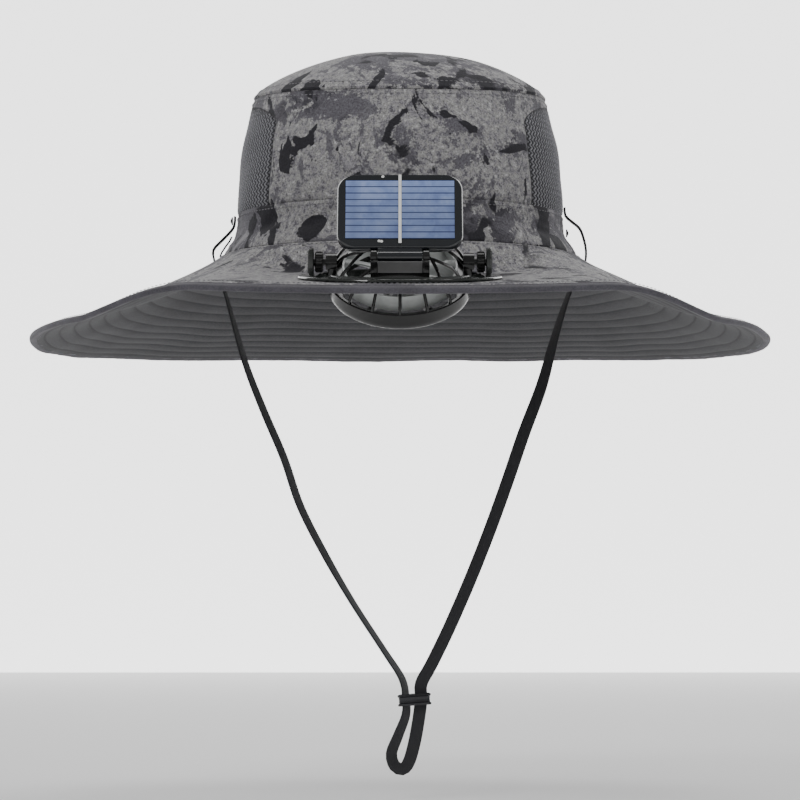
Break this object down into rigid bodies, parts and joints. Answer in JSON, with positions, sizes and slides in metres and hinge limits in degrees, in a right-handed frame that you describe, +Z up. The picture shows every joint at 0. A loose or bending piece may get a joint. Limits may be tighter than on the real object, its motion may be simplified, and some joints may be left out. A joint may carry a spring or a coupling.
{
  "type": "solar fan hat",
  "caption": "Wide-brimmed soft hat with mesh side panels, a tilting fan set in the front brim, a hinged solar panel on the fan and a chin tape with a cord lock.",
  "frame": {"origin": "centre of the head opening, at the seam between crown and brim", "axes": "+Z up through the crown, -Y towards the front of the hat where the fan sits, +X to the viewer's right from the front"},
  "size_m": [0.4114, 0.4343, 0.4006],
  "materials": {
    "camouflage_cloth": "woven cotton with a grey camouflage print",
    "knit_mesh": "open ribbed knit, dark grey",
    "binding_tape": "folded cotton tape, dark grey",
    "plate_plastic": "polished, almost black",
    "fan_plastic": "polished black",
    "blade_plastic": "smooth grey",
    "case_plastic": "polished black",
    "face_plastic": "satin grey",
    "cell_glass": "blue cell under clear resin",
    "bar_metal": "printed silver line",
    "strap_webbing": "flat woven tape, charcoal",
    "dark_metal": "gunmetal gloss"
  },
  "bodies": {
    "hat": {"crown_tip": "camouflage_cloth", "crown_front": "camouflage_cloth", "crown_back": "camouflage_cloth", "mesh_left": "knit_mesh", "mesh_right": "knit_mesh", "crown_band": "camouflage_cloth", "brim": "camouflage_cloth", "brim_binding": "binding_tape", "mount_plate": "plate_plastic", "chin_cord": "strap_webbing", "cord_lock": "dark_metal", "keeper_left": "strap_webbing", "snap_left": "dark_metal", "snap_right": "dark_metal"},
    "fan": {"fan_housing": "fan_plastic", "fan_guard": "fan_plastic", "panel_stand": "fan_plastic", "stand_plate": "face_plastic"},
    "rotor": {"rotor": "blade_plastic"},
    "panel": {"panel_frame": "case_plastic", "solar_cell": "cell_glass", "busbar": "bar_metal"}
  },
  "joints": [
    {"name": "fan_tilt", "type": "hinge", "parent": "hat", "child": "fan", "pos_m": [0, -0.165, -0.0173], "axis": [1, 0, 0], "range_deg": [-35, 20]},
    {"name": "panel_tilt", "type": "hinge", "parent": "fan", "child": "panel", "pos_m": [0, -0.19766, -0.01749], "axis": [1, 0, 0], "range_deg": [-24, 30]},
    {"name": "rotor_spin", "type": "hinge", "parent": "fan", "child": "rotor", "pos_m": [0, -0.165, -0.0173], "axis": [0, -0.6018, 0.7986], "continuous": true}
  ]
}
